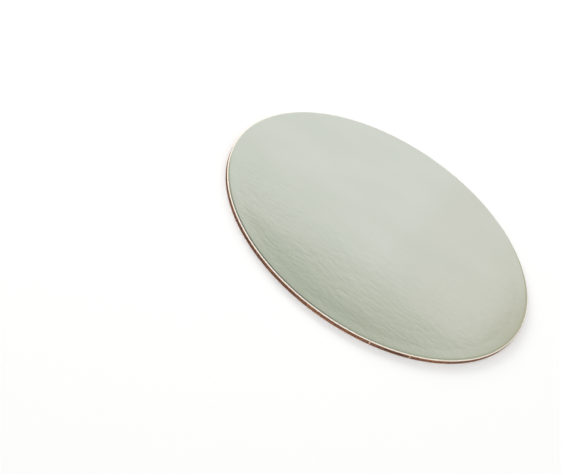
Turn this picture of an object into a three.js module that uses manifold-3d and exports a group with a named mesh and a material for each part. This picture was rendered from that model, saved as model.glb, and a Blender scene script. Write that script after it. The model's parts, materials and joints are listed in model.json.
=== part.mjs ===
// A round cake board: a stiff brown cardboard disc with silver foil on its upper face and white paper on its
// lower face, laminated as sheets and then die cut. Units are millimetres and +Z is up. The origin is the centre
// of the lower face, so the board lies on z = 0.
import * as THREE from "three";
import { mergeVertices } from "three/addons/utils/BufferGeometryUtils.js";
import Module from "manifold-3d";

// The blank and its three plies.
const boardDiameter = 203;
const foilThickness = 0.25;
const coreThickness = 2.5;
const paperThickness = 0.25;

// The cutting rule presses the foil down over the core's upper edge: how far in the shoulder starts, and its drop.
const shoulderWidth = 1.6;
const shoulderDrop = 0.5;

// Torn tabs where notches in the cutting rule held the blank in its sheet: two pairs, opposite each other.
const nickWidth = 0.8;
const nickReach = 0.3;
const nickRoot = 0.9;
const nickEndGap = 0.12;
const nickTipShare = 0.5;
const nickPairAzimuth = 24.4;
const nickPairAngle = 14;
const nickPairs = 2;

// Facets: steps round the rim, and steps along the shoulder's curve.
const rimSteps = 180;
const shoulderSteps = 5;

const boardRadius = boardDiameter / 2;

// The shoulder as a quarter of an ellipse, from the flat face out and down to the cut edge, under a flat at topZ.
function shoulderCurve(topZ) {
  const centre = new THREE.Vector2(boardRadius - shoulderWidth, topZ - shoulderDrop);
  const curve = new THREE.EllipseCurve(
    centre.x, centre.y, shoulderWidth, shoulderDrop, Math.PI / 2, 0, true,
  );
  return curve.getPoints(shoulderSteps);
}

// A solid of revolution about Z. The outline runs from the axis at the bottom to the axis at the top.
function turnedSolid(outline) {
  return new THREE.LatheGeometry(outline, rimSteps).rotateX(Math.PI / 2);
}

// The foil, with z = 0 on its glue line: flat, and turned down over the core's edge at the rim.
function foilGeometry() {
  const underside = shoulderCurve(0);
  const upperSide = shoulderCurve(foilThickness).reverse();
  const outline = [
    new THREE.Vector2(0, 0),
    ...underside,
    ...upperSide,
    new THREE.Vector2(0, foilThickness),
  ];
  return turnedSolid(outline);
}

// The core without its torn tabs, with z = 0 on the foil's glue line.
function coreBlankGeometry() {
  const outline = [
    new THREE.Vector2(0, -coreThickness),
    new THREE.Vector2(boardRadius, -coreThickness),
    ...shoulderCurve(0).reverse(),
    new THREE.Vector2(0, 0),
  ];
  return turnedSolid(outline);
}

// One torn tab on the core's cut edge, at an azimuth counted from -Y towards +X.
function nickGeometry(azimuth) {
  const rootHalf = nickWidth / 2;
  const tipHalf = rootHalf * nickTipShare;
  const rootY = -(boardRadius - nickRoot);
  const tipY = -(boardRadius + nickReach);
  const plan = new THREE.Shape([
    new THREE.Vector2(-rootHalf, rootY),
    new THREE.Vector2(-rootHalf, -boardRadius),
    new THREE.Vector2(-tipHalf, tipY),
    new THREE.Vector2(tipHalf, tipY),
    new THREE.Vector2(rootHalf, -boardRadius),
    new THREE.Vector2(rootHalf, rootY),
  ]);
  const cutEdgeHeight = coreThickness - shoulderDrop;
  const tab = new THREE.ExtrudeGeometry(plan, { depth: cutEdgeHeight - 2 * nickEndGap, bevelEnabled: false });
  return tab.translate(0, 0, -coreThickness + nickEndGap).rotateZ(THREE.MathUtils.degToRad(azimuth));
}

// The azimuths of all the torn tabs.
function nickAzimuths() {
  const azimuths = [];
  for (let pair = 0; pair < nickPairs; pair += 1) {
    const middle = nickPairAzimuth + (360 * pair) / nickPairs;
    azimuths.push(middle - nickPairAngle / 2, middle + nickPairAngle / 2);
  }
  return azimuths;
}

// The backing paper, with z = 0 on its glue line under the core.
function paperGeometry() {
  const outline = [
    new THREE.Vector2(0, -paperThickness),
    new THREE.Vector2(boardRadius, -paperThickness),
    new THREE.Vector2(boardRadius, 0),
    new THREE.Vector2(0, 0),
  ];
  return turnedSolid(outline);
}

// A closed geometry as a solid that can be joined to others.
function toSolid(wasm, geometry) {
  const bare = geometry.clone();
  bare.deleteAttribute("normal");
  bare.deleteAttribute("uv");
  const merged = mergeVertices(bare);
  return new wasm.Manifold(new wasm.Mesh({
    numProp: 3,
    vertProperties: merged.attributes.position.array,
    triVerts: new Uint32Array(merged.index.array),
  }));
}

// A joined solid as a geometry again.
function toGeometry(solid) {
  const mesh = solid.getMesh();
  const geometry = new THREE.BufferGeometry();
  geometry.setAttribute("position", new THREE.BufferAttribute(mesh.vertProperties, mesh.numProp));
  geometry.setIndex(new THREE.BufferAttribute(mesh.triVerts, 1));
  geometry.computeVertexNormals();
  return geometry;
}

// The core with its torn tabs, as one piece.
function coreGeometry(wasm) {
  let core = toSolid(wasm, coreBlankGeometry());
  for (const azimuth of nickAzimuths()) {
    core = core.add(toSolid(wasm, nickGeometry(azimuth)));
  }
  return toGeometry(core);
}

// One ply as a named mesh, with its glue line at a height over the table.
function ply(name, geometry, material, glueLine) {
  const mesh = new THREE.Mesh(geometry, material);
  mesh.name = name;
  mesh.position.z = glueLine;
  return mesh;
}

const silverFoil = new THREE.MeshStandardMaterial({ color: "#ced1c6", metalness: 0.9, roughness: 0.35 });
const brownCardboard = new THREE.MeshStandardMaterial({ color: "#8a6146", metalness: 0, roughness: 0.9 });
const whitePaper = new THREE.MeshStandardMaterial({ color: "#e2e2e4", metalness: 0, roughness: 0.8 });

const wasm = await Module();
wasm.setup();

const foilGlueLine = paperThickness + coreThickness;
const paperGlueLine = paperThickness;

const cakeBoard = new THREE.Group();
cakeBoard.add(ply("foil_face", foilGeometry(), silverFoil, foilGlueLine));
cakeBoard.add(ply("board_core", coreGeometry(wasm), brownCardboard, foilGlueLine));
cakeBoard.add(ply("backing_paper", paperGeometry(), whitePaper, paperGlueLine));

export default cakeBoard;
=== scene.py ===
"""The looks of a round cake board: silver foil laminate over brown greyboard, with white paper underneath.

Lengths are metres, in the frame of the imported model: +Z up, with the origin at the centre of the lower face.
"""
import json
import math

import bmesh
import bpy
from mathutils import Matrix, Vector

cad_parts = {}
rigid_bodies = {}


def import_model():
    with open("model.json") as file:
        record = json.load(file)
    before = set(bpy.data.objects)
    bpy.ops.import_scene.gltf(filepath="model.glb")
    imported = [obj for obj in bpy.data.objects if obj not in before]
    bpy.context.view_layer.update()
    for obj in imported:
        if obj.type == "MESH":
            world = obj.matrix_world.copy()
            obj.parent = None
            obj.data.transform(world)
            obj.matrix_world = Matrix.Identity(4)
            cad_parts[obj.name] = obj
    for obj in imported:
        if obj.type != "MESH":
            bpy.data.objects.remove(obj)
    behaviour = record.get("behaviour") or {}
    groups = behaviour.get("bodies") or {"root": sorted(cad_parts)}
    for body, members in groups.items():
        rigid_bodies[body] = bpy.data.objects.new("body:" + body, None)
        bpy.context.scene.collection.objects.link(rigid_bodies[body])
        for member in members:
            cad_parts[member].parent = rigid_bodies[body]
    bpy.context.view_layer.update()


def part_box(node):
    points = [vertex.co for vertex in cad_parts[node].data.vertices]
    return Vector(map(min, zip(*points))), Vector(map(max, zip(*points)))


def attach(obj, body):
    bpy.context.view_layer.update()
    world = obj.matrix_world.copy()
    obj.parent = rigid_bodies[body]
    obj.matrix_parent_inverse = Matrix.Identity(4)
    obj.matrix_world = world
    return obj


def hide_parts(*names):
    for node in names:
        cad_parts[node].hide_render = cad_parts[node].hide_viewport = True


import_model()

MM = 0.001

# Sizes that come from the frame.
foil_low, foil_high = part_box("foil_face")
core_low, core_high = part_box("board_core")
paper_low, paper_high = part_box("backing_paper")
BOARD_RADIUS = foil_high.x
BOARD_TOP = foil_high.z
FOIL_THICKNESS = foil_high.z - core_high.z
SHOULDER_DROP = core_high.z - foil_low.z

# The foil's turned down rim, and how much of its outer edge takes the liner's cream: the paper's real cut
# edge, and beyond it a painted highlight of the rolled foil.
SHOULDER_WIDTH = 1.6 * MM
LINER_AND_PAINTED_HIGHLIGHT_WIDTH = 0.5 * MM
FLAT_RADIUS = BOARD_RADIUS - SHOULDER_WIDTH

# The torn tabs on the core's edge. A tab's tip is narrower and a little lower than its root.
TAB_WIDTH = 0.8 * MM
TAB_REACH = 0.28 * MM
TAB_END_GAP = 0.12 * MM
TAB_TIP_WIDTH_SHARE = 0.5
TAB_TIP_HEIGHT_SHARE = 0.9
TAB_PAIR_AZIMUTH = math.radians(24.4)
TAB_PAIR_ANGLE = math.radians(14)
TAB_PAIRS = 2

# How finely each ply is divided: points round its rim, steps along its shoulder, rows up the core's cut edge.
FOIL_RIM_POINTS = 880
CORE_RIM_POINTS = 1600
PAPER_RIM_POINTS = 640
FOIL_SHOULDER_STEPS = 10
GLUED_SHOULDER_STEPS = 3
CORE_EDGE_ROWS = 10

# How near a point counts as lying on the cut edge, and on a flat face.
ON_EDGE = 0.05 * MM
ON_FACE = 0.01 * MM

# The range that holds nearly all of a noise node's values.
NOISE_LOW = 0.3
NOISE_HIGH = 0.7

# Heights under the board: the floor, and the light that shows the white paper from below.
FLOOR_LEVEL = -0.2 * MM
UNDER_LIGHT_LEVEL = -0.1 * MM

# The plane of the cards that stand behind the board and that the foil mirrors.
WALL_Y = 1.0

# The photograph: its frame in pixels, the pixel of the foil face's centre, and the camera that fits the rim.
PHOTO_WIDTH = 561
PHOTO_HEIGHT = 474
FACE_CENTRE_PIXEL = (382.0, 228.2)
FOCAL_LENGTH_PIXELS = 1450
CAMERA_DISTANCE = 8.576 * BOARD_RADIUS
CAMERA_ELEVATION = math.radians(33.70)
CAMERA_ROLL = math.radians(34.85)
SENSOR_WIDTH_MM = 36


def linear(hex_colour):
    """An sRGB hex colour as linear RGBA."""
    channels = [int(hex_colour[i:i + 2], 16) / 255 for i in (1, 3, 5)]
    return [c / 12.92 if c <= 0.04045 else ((c + 0.055) / 1.055) ** 2.4 for c in channels] + [1.0]


def add_node(tree, kind, sockets=None, **settings):
    """Adds a node with its settings. Each socket is given a value, or the output that it is linked to."""
    node = tree.nodes.new(kind)
    for name, value in settings.items():
        setattr(node, name, value)
    for name, value in (sockets or {}).items():
        if isinstance(value, bpy.types.NodeSocket):
            tree.links.new(value, node.inputs[name])
        else:
            node.inputs[name].default_value = value
    return node


def new_material(name):
    """A new material, its node tree, its shader and the socket with the object's coordinates."""
    material = bpy.data.materials.new(name)
    material.use_nodes = True
    tree = material.node_tree
    shader = tree.nodes["Principled BSDF"]
    place = add_node(tree, "ShaderNodeTexCoord").outputs["Object"]
    return material, tree, shader, place


def grain(tree, place, length, width, height, detail):
    """Noise whose grains measure length by width by height, in metres, along X, Y and Z."""
    stretched = add_node(
        tree, "ShaderNodeMapping",
        {"Vector": place, "Scale": (1 / length, 1 / width, 1 / height)},
    )
    noise = add_node(
        tree, "ShaderNodeTexNoise",
        {"Vector": stretched.outputs["Vector"], "Scale": 1.0, "Detail": detail, "Roughness": 0.55},
    )
    return noise.outputs["Fac"]


def blend_colours(tree, factor, colours, low=NOISE_LOW, high=NOISE_HIGH):
    """A ramp through sRGB hex colours as the factor goes from low to high."""
    ramp = add_node(tree, "ShaderNodeValToRGB", {"Fac": factor})
    stops = ramp.color_ramp.elements
    while len(stops) < len(colours):
        stops.new(0.5)
    for i, colour in enumerate(colours):
        stops[i].position = low + (high - low) * i / (len(colours) - 1)
        stops[i].color = linear(colour)
    return ramp.outputs["Color"]


def map_noise(tree, noise, low, high):
    """Spreads a noise's values over low to high."""
    sockets = {"Value": noise, "From Min": NOISE_LOW, "From Max": NOISE_HIGH, "To Min": low, "To Max": high}
    return add_node(tree, "ShaderNodeMapRange", sockets).outputs["Result"]


def bump(tree, height, depth, under=None):
    """Raises the surface by height times depth, in metres, on top of another bump."""
    sockets = {"Height": height, "Strength": 1.0, "Distance": depth}
    if under is not None:
        sockets["Normal"] = under
    return add_node(tree, "ShaderNodeBump", sockets).outputs["Normal"]


def metallised_foil_laminate():
    """Aluminium-metallised film: a mirror that the board's fibres, pressing through, turn satin."""
    material, tree, shader, place = new_material("metallised_foil_laminate")
    cloud = grain(tree, place, 60 * MM, 35 * MM, 35 * MM, 1)
    fibres = grain(tree, place, 4.5 * MM, 1.2 * MM, 1.2 * MM, 3)
    fine_fibres = grain(tree, place, 1.6 * MM, 0.45 * MM, 0.45 * MM, 2)
    colour = blend_colours(tree, cloud, ["#d5dacf", "#d9ddd3"])
    tree.links.new(colour, shader.inputs["Base Color"])
    tree.links.new(map_noise(tree, fibres, 0.13, 0.17), shader.inputs["Roughness"])
    shader.inputs["Metallic"].default_value = 1.0
    pressed = bump(tree, fibres, 0.010 * MM)
    tree.links.new(bump(tree, fine_fibres, 0.003 * MM, pressed), shader.inputs["Normal"])
    return material


def cut_liner_edge_and_painted_highlight():
    """The die-cut edge of a paper liner: matt, cream and slightly fibrous. On the foil's turned down rim the
    same near-white cream is a painted highlight.
    """
    material, tree, shader, place = new_material("cut_liner_edge_and_painted_highlight")
    fibres = grain(tree, place, 0.9 * MM, 0.9 * MM, 0.15 * MM, 2)
    tree.links.new(blend_colours(tree, fibres, ["#efe0cd", "#fbf3e7"]), shader.inputs["Base Color"])
    shader.inputs["Roughness"].default_value = 0.85
    tree.links.new(bump(tree, fibres, 0.03 * MM), shader.inputs["Normal"])
    return material


def recycled_greyboard():
    """Board of recycled brown pulp in plies: matt, mottled, with torn fibres along the cut."""
    material, tree, shader, place = new_material("recycled_greyboard")
    plies = grain(tree, place, 30 * MM, 30 * MM, 0.42 * MM, 1)
    clumps = grain(tree, place, 1.3 * MM, 1.3 * MM, 0.5 * MM, 3)
    fibres = grain(tree, place, 0.8 * MM, 0.8 * MM, 0.10 * MM, 2)
    mottle = add_node(tree, "ShaderNodeMix", {"Factor": 0.45, "A": clumps, "B": plies}).outputs["Result"]
    colour = blend_colours(tree, mottle, ["#43281f", "#784d38", "#ab7856"], 0.38, 0.62)
    tree.links.new(colour, shader.inputs["Base Color"])
    shader.inputs["Roughness"].default_value = 0.92
    coarse = bump(tree, clumps, 0.08 * MM)
    tree.links.new(bump(tree, fibres, 0.04 * MM, coarse), shader.inputs["Normal"])
    return material


def torn_board_fibre():
    """Board that was torn and not cut: paler, because the loose fibres scatter more light."""
    material, tree, shader, place = new_material("torn_board_fibre")
    fibres = grain(tree, place, 0.3 * MM, 0.3 * MM, 0.15 * MM, 3)
    tree.links.new(blend_colours(tree, fibres, ["#cfa98a", "#f0dcc4"]), shader.inputs["Base Color"])
    shader.inputs["Roughness"].default_value = 0.95
    tree.links.new(bump(tree, fibres, 0.08 * MM), shader.inputs["Normal"])
    return material


def bleached_liner_paper():
    """Bleached white liner paper: matt, faintly cloudy, with a fine felt-like tooth."""
    material, tree, shader, place = new_material("bleached_liner_paper")
    cloud = grain(tree, place, 9 * MM, 5 * MM, 5 * MM, 4)
    tooth = grain(tree, place, 0.7 * MM, 0.4 * MM, 0.4 * MM, 2)
    pressed = grain(tree, place, 7 * MM, 1.6 * MM, 1.6 * MM, 2)
    tree.links.new(blend_colours(tree, cloud, ["#e2e2e3", "#ececec"]), shader.inputs["Base Color"])
    tree.links.new(map_noise(tree, cloud, 0.62, 0.74), shader.inputs["Roughness"])
    grained = bump(tree, pressed, 0.012 * MM)
    tree.links.new(bump(tree, tooth, 0.006 * MM, grained), shader.inputs["Normal"])
    return material


def painted_table():
    """A table painted matt white. It is clear from below, so it doesn't hide the board's lower face."""
    material, tree, shader, _ = new_material("painted_table")
    shader.inputs["Base Color"].default_value = linear("#f2f2f2")
    shader.inputs["Roughness"].default_value = 0.9
    shader.inputs["Specular IOR Level"].default_value = 0.1
    below = add_node(tree, "ShaderNodeNewGeometry").outputs["Backfacing"]
    clear = add_node(tree, "ShaderNodeBsdfTransparent").outputs["BSDF"]
    mixed = add_node(tree, "ShaderNodeMixShader", {0: below, 1: shader.outputs["BSDF"], 2: clear})
    tree.links.new(mixed.outputs["Shader"], tree.nodes["Material Output"].inputs["Surface"])
    return material


def start_ring(name, points, radius, height):
    """A ring of points as a new piece in edit mode, with its edges selected."""
    bpy.ops.object.select_all(action="DESELECT")
    bpy.ops.mesh.primitive_circle_add(vertices=points, radius=radius, location=(0, 0, height))
    piece = bpy.context.active_object
    piece.name = piece.data.name = name
    bpy.ops.object.transform_apply(location=True, rotation=True, scale=True)
    bpy.ops.object.mode_set(mode="EDIT")
    bpy.ops.mesh.select_mode(type="EDGE")
    bpy.ops.mesh.select_all(action="SELECT")
    return piece


def select_where(piece, kind, test):
    """In edit mode, selects only the edges or faces that pass the test."""
    bpy.ops.mesh.select_mode(type={"edges": "EDGE", "faces": "FACE"}[kind])
    bpy.ops.mesh.select_all(action="DESELECT")
    cage = bmesh.from_edit_mesh(piece.data)
    for element in getattr(cage, kind):
        if test(element):
            element.select_set(True)
    bmesh.update_edit_mesh(piece.data)


def select_open_edge(piece):
    """In edit mode, selects the edges that have a face on one side only."""
    select_where(piece, "edges", lambda edge: edge.is_boundary)


def grow_rings(radius, height, stations):
    """Extrudes the selected ring, at a radius and height, through stations of radius and height."""
    for next_radius, next_height in stations:
        rise = (0, 0, next_height - height)
        bpy.ops.mesh.extrude_region_move(TRANSFORM_OT_translate={"value": rise})
        share = next_radius / radius
        bpy.ops.transform.resize(value=(share, share, 1), center_override=(0, 0, 0))
        radius, height = next_radius, next_height


def close_piece():
    """In edit mode, caps the selected ring and turns every face outward."""
    bpy.ops.mesh.edge_face_add()
    bpy.ops.mesh.select_all(action="SELECT")
    bpy.ops.mesh.normals_make_consistent(inside=False)


def shoulder_out(top, steps):
    """Stations of the turned down rim under a flat at top, from beside the flat out to the cut edge."""
    stations = []
    for step in range(1, steps + 1):
        angle = math.pi / 2 * (1 - step / steps)
        reach = SHOULDER_WIDTH * math.cos(angle)
        drop = SHOULDER_DROP * (1 - math.sin(angle))
        stations.append((FLAT_RADIUS + reach, top - drop))
    return stations


def shoulder_in(top, steps):
    """Stations of the same rim, from above the cut edge in to the flat."""
    return shoulder_out(top, steps)[-2::-1] + [(FLAT_RADIUS, top)]


def assign_selected(piece, slot_index):
    """In edit mode, gives the selected faces the material in a slot."""
    piece.active_material_index = slot_index
    bpy.ops.object.material_slot_assign()


def ring_radius(place):
    """How far a place lies from the board's axis."""
    return math.hypot(place.x, place.y)


def group_where(piece, name, weight):
    """A vertex group that gives each point the weight that a function of its place returns."""
    group = piece.vertex_groups.new(name=name)
    for vertex in piece.data.vertices:
        share = weight(vertex.co)
        if share > 0:
            group.add([vertex.index], share, "REPLACE")
    return group.name


def wear(piece, name, grain_size, depth, group, direction="NORMAL", mid_level=1.0):
    """Moves the points of a vertex group by up to a depth, in cloudy patches of a size along X, Y and Z.

    A mid level of 1 only sinks points, and 0 only raises them.
    """
    guide = bpy.data.objects.new(name, None)
    bpy.context.scene.collection.objects.link(guide)
    guide.scale = grain_size
    bpy.context.view_layer.update()
    texture = bpy.data.textures.new(name, "CLOUDS")
    texture.noise_scale = 1.0
    texture.noise_depth = 1
    patches = piece.modifiers.new(name, "DISPLACE")
    patches.texture = texture
    patches.texture_coords = "OBJECT"
    patches.texture_coords_object = guide
    patches.direction = direction
    patches.mid_level = mid_level
    patches.strength = depth
    patches.vertex_group = group
    bpy.ops.object.modifier_apply(modifier=name)
    bpy.data.objects.remove(guide)


def finish_piece(piece, node, smooth_angle=35):
    bpy.ops.object.shade_smooth_by_angle(angle=math.radians(smooth_angle))
    piece.vertex_groups.clear()
    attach(piece, "root")
    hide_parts(node)


def make_foil_liner(liner_edge):
    """The foil and its paper: a flat, finely waved face, a turned down rim and a cream cut edge. The rim's
    outer edge is also painted cream, as a painted highlight.
    """
    glue_line = BOARD_TOP - FOIL_THICKNESS
    rim = shoulder_out(BOARD_TOP, FOIL_SHOULDER_STEPS)
    cut_top = rim[-1][1]
    cut_edge = [(BOARD_RADIUS, cut_top - FOIL_THICKNESS / 2), (BOARD_RADIUS, cut_top - FOIL_THICKNESS)]
    piece = start_ring("silver_foil_liner", FOIL_RIM_POINTS, FLAT_RADIUS, BOARD_TOP)
    bpy.ops.mesh.fill_grid(span=FOIL_RIM_POINTS // 4)
    select_open_edge(piece)
    grow_rings(FLAT_RADIUS, BOARD_TOP, rim + cut_edge + shoulder_in(glue_line, GLUED_SHOULDER_STEPS))
    close_piece()

    piece.data.materials.append(metallised_foil_laminate())
    piece.data.materials.append(liner_edge)
    # The cream covers the cut edge and the faces underneath, which are real paper. It also covers the outer
    # half millimetre of the turned down rim, which is a painted highlight of the rolled foil.
    liner_and_painted_highlight_radius = BOARD_RADIUS - LINER_AND_PAINTED_HIGHLIGHT_WIDTH
    facing_down = -0.1
    select_where(
        piece, "faces",
        lambda face: face.normal.z < facing_down or ring_radius(face.calc_center_median()) > liner_and_painted_highlight_radius,
    )
    assign_selected(piece, 1)
    bpy.ops.object.mode_set(mode="OBJECT")

    fade_width = 6 * MM

    def face_share(place):
        if place.z < BOARD_TOP - ON_FACE:
            return 0
        return min(1, (FLAT_RADIUS - ring_radius(place)) / fade_width)

    on_face = group_where(piece, "face", face_share)
    wear(piece, "fibre_waves", (4.5 * MM, 1.8 * MM, 10 * MM), 0.024 * MM, on_face, "Z")
    wear(piece, "slow_waves", (55 * MM, 30 * MM, 50 * MM), 0.060 * MM, on_face, "Z")
    blunt_radius = BOARD_RADIUS - 0.25 * MM
    on_rim = group_where(piece, "rim", lambda place: ring_radius(place) > blunt_radius)
    wear(piece, "blunt_cut", (2.2 * MM, 2.2 * MM, 1.2 * MM), 0.10 * MM, on_rim)
    finish_piece(piece, "foil_face")


def tab_azimuths():
    """Azimuths of the torn tabs, counted from -Y towards +X."""
    azimuths = []
    for pair in range(TAB_PAIRS):
        middle = TAB_PAIR_AZIMUTH + 2 * math.pi * pair / TAB_PAIRS
        azimuths += [middle - TAB_PAIR_ANGLE / 2, middle + TAB_PAIR_ANGLE / 2]
    return azimuths


def pull_out_tab(piece, azimuth, low, high):
    """Pulls a narrow column of the cut edge out into a torn tab, and gives it the material in slot 1."""
    outward = Vector((math.sin(azimuth), -math.cos(azimuth), 0))
    sideways = Vector((math.cos(azimuth), math.sin(azimuth), 0))

    def in_column(face):
        middle = face.calc_center_median()
        beside = abs(middle.dot(sideways)) < TAB_WIDTH / 2
        return beside and middle.dot(outward) > BOARD_RADIUS - ON_EDGE and low < middle.z < high

    select_where(piece, "faces", in_column)
    bpy.ops.mesh.extrude_region_move(TRANSFORM_OT_translate={"value": outward * TAB_REACH})
    tip = outward * (BOARD_RADIUS + TAB_REACH) + Vector((0, 0, (low + high) / 2))
    tip_share = (TAB_TIP_WIDTH_SHARE, TAB_TIP_WIDTH_SHARE, TAB_TIP_HEIGHT_SHARE)
    bpy.ops.transform.resize(value=tip_share, center_override=tip)
    bpy.ops.mesh.select_more()
    assign_selected(piece, 1)


def make_core():
    """The greyboard: a cut edge of ragged plies with its torn tabs."""
    low, cut_top, top = core_low.z, foil_low.z, core_high.z
    piece = start_ring("greyboard_disc", CORE_RIM_POINTS, BOARD_RADIUS, low)
    bpy.ops.mesh.edge_face_add()
    select_open_edge(piece)
    rows = [
        (BOARD_RADIUS, low + (cut_top - low) * row / CORE_EDGE_ROWS)
        for row in range(1, CORE_EDGE_ROWS + 1)
    ]
    grow_rings(BOARD_RADIUS, low, rows + shoulder_in(top, GLUED_SHOULDER_STEPS))
    close_piece()

    piece.data.materials.append(recycled_greyboard())
    piece.data.materials.append(torn_board_fibre())
    for azimuth in tab_azimuths():
        pull_out_tab(piece, azimuth, low + TAB_END_GAP, cut_top - TAB_END_GAP)
    bpy.ops.object.mode_set(mode="OBJECT")

    def is_cut(place):
        return ring_radius(place) > BOARD_RADIUS - ON_EDGE and low < place.z < cut_top

    on_cut = group_where(piece, "cut", is_cut)
    wear(piece, "plies", (2.0 * MM, 2.0 * MM, 0.45 * MM), 0.22 * MM, on_cut)
    wear(piece, "torn_fibres", (0.7 * MM, 0.7 * MM, 0.3 * MM), 0.10 * MM, on_cut)
    finish_piece(piece, "board_core", 50)


def make_backing_paper(liner_edge):
    """The white liner: a flat lower face with the board's grain in it, and a thin cut edge."""
    edge_round = 0.05 * MM
    face_radius = BOARD_RADIUS - edge_round
    piece = start_ring("white_backing_liner", PAPER_RIM_POINTS, face_radius, paper_low.z)
    bpy.ops.mesh.fill_grid(span=PAPER_RIM_POINTS // 4)
    select_open_edge(piece)
    stations = [(BOARD_RADIUS, edge_round), (BOARD_RADIUS, paper_high.z)]
    grow_rings(face_radius, paper_low.z, stations)
    close_piece()

    piece.data.materials.append(bleached_liner_paper())
    piece.data.materials.append(liner_edge)
    select_where(piece, "faces", lambda face: ring_radius(face.calc_center_median()) > face_radius)
    assign_selected(piece, 1)
    bpy.ops.object.mode_set(mode="OBJECT")

    grained_radius = face_radius - 2 * MM

    def is_grained(place):
        return place.z < ON_FACE and ring_radius(place) < grained_radius

    on_face = group_where(piece, "face", is_grained)
    wear(piece, "board_grain", (14 * MM, 4 * MM, 10 * MM), 0.02 * MM, on_face, "Z", mid_level=0.0)
    finish_piece(piece, "backing_paper")


def make_floor():
    """A pale table, wide enough to fill the view."""
    side = 8.0
    bpy.ops.object.select_all(action="DESELECT")
    bpy.ops.mesh.primitive_plane_add(size=side, location=(0, 0, FLOOR_LEVEL))
    floor = bpy.context.active_object
    floor.name = "floor"
    floor.data.materials.append(painted_table())


def add_softbox(name, place, aim, size, radiance, colour="#ffffff", mirrored=True, is_round=False):
    """An area light at a place, facing a point. Its size is a width and a height.

    Its radiance is its brightness as a white card. The foil shows it only if it is mirrored.
    """
    width, height = size
    light = bpy.data.lights.new(name, "AREA")
    light.shape = "ELLIPSE" if is_round else "RECTANGLE"
    light.size = width
    light.size_y = height
    area = width * height * (math.pi / 4 if is_round else 1)
    light.energy = radiance * math.pi * area
    light.color = linear(colour)[:3]
    softbox = bpy.data.objects.new(name, light)
    bpy.context.scene.collection.objects.link(softbox)
    softbox.location = place
    softbox.rotation_euler = (Vector(aim) - Vector(place)).to_track_quat("-Z", "Y").to_euler()
    softbox.visible_camera = False
    softbox.visible_glossy = mirrored


def add_wall_card(name, left, right, bottom, top, radiance, colour="#ffffff"):
    """An upright card behind the board, square on to it, for the foil to mirror."""
    middle = (left + right) / 2
    level = (bottom + top) / 2
    size = (right - left, top - bottom)
    add_softbox(name, (middle, WALL_Y, level), (middle, 0, level), size, radiance, colour)


def light_the_world():
    """A dim room that looks like a bright backdrop to the camera."""
    room = 0.22
    backdrop = 1.0
    world = bpy.data.worlds.new("studio")
    bpy.context.scene.world = world
    world.use_nodes = True
    tree = world.node_tree
    seen = add_node(tree, "ShaderNodeLightPath").outputs["Is Camera Ray"]
    level = add_node(tree, "ShaderNodeMapRange", {"Value": seen, "To Min": room, "To Max": backdrop})
    background = tree.nodes["Background"]
    background.inputs["Color"].default_value = linear("#f4f4f4")
    tree.links.new(level.outputs["Result"], background.inputs["Strength"])


def hang_wall_cards():
    """What the foil mirrors: a bright card, a dimmer veil beside and above it, and a dark gap over them.

    The gap shows only in the turned down rim, as the thin dark line inside the cream one. On the right, where
    the line fades, another veil fills the gap.
    """
    left, right = -1.55, 1.55
    card_bottom, card_top, veil_top = 0.12, 0.79, 1.075
    card_right, warm_right, side_right = 0.04, 0.215, 1.215
    high_left, high_right, high_top = 0.05, 1.25, 1.875
    add_wall_card("far_card", left, card_right, card_bottom, card_top, 0.73)
    add_wall_card("warm_card", card_right, warm_right, card_bottom, card_top, 0.70, "#fffbf9")
    add_wall_card("far_veil", left, right, card_top, veil_top, 0.34, "#f6ffdc")
    add_wall_card("side_veil", warm_right, side_right, card_bottom, card_top, 0.42, "#fff8d6")
    add_wall_card("high_veil", high_left, high_right, veil_top, high_top, 0.35, "#f6ffdc")


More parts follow.
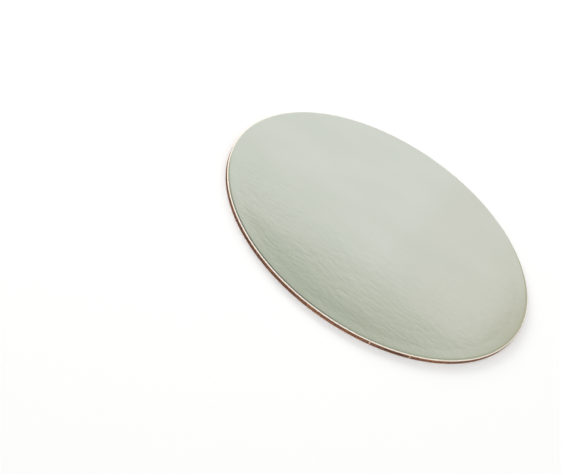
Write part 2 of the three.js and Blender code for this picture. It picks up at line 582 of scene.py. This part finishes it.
def light_the_studio():
    """A light tent: cards all round for the foil to mirror, and softboxes that it doesn't mirror."""
    light_the_world()
    hang_wall_cards()
    add_softbox("roof_card", (0, -0.35, 1.5), (0, -0.35, 0), (2.4, 1.6), 0.60)
    add_softbox("left_card", (-1.5, -0.4, 0.6), (0, -0.4, 0.5), (2.8, 1.1), 0.5)
    add_softbox("right_card", (1.5, -0.4, 0.6), (0, -0.4, 0.5), (2.8, 1.1), 0.45)
    add_softbox("front_card", (0, -1.8, 0.7), (0, 0, 0.2), (3.0, 1.2), 1.2)
    add_softbox("overhead", (0, -0.1, 1.5), (0, 0, 0), (1.1, 1.1), 1.85, mirrored=False)
    add_softbox("background_light", (0, 2.3, 0.9), (0, 2.3, 0), (5.0, 2.0), 1.35, mirrored=False)
    add_softbox("key", (-1.05, 0.85, 0.5), (0, 0, 0), (1.0, 0.5), 7.0, mirrored=False)
    # A round light between the table and the board, hidden by the board, so that the paper shows from below.
    diameter = 2 * (BOARD_RADIUS - 0.2 * MM)
    add_softbox(
        "under_light", (0, 0, UNDER_LIGHT_LEVEL), (0, 0, 1), (diameter, diameter), 0.41,
        mirrored=False, is_round=True,
    )


def place_camera():
    """The camera whose view of the rim fits the photograph, with the face's centre on its pixel."""
    data = bpy.data.cameras.new("camera")
    data.sensor_width = SENSOR_WIDTH_MM
    data.lens = SENSOR_WIDTH_MM * FOCAL_LENGTH_PIXELS / PHOTO_WIDTH
    camera = bpy.data.objects.new("camera", data)
    bpy.context.scene.collection.objects.link(camera)
    bpy.context.scene.camera = camera
    face_centre = Vector((0, 0, BOARD_TOP))
    towards = Vector((0, math.cos(CAMERA_ELEVATION), -math.sin(CAMERA_ELEVATION)))
    straight_ahead = Vector((0, 0, -1))
    to_pixel = Vector((
        (FACE_CENTRE_PIXEL[0] - PHOTO_WIDTH / 2) / FOCAL_LENGTH_PIXELS,
        (PHOTO_HEIGHT / 2 - FACE_CENTRE_PIXEL[1]) / FOCAL_LENGTH_PIXELS,
        -1,
    ))
    look = towards.to_track_quat("-Z", "Y").to_matrix()
    roll = Matrix.Rotation(CAMERA_ROLL, 3, "Z")
    off_centre = to_pixel.rotation_difference(straight_ahead).to_matrix()
    turn = (look @ roll @ off_centre).to_4x4()
    camera.matrix_world = Matrix.Translation(face_centre - towards * CAMERA_DISTANCE) @ turn


place_camera()
light_the_studio()
make_floor()
cream_edge_and_painted_highlight = cut_liner_edge_and_painted_highlight()
make_foil_liner(cream_edge_and_painted_highlight)
make_core()
make_backing_paper(cream_edge_and_painted_highlight)
bpy.context.scene.view_settings.view_transform = "Standard"
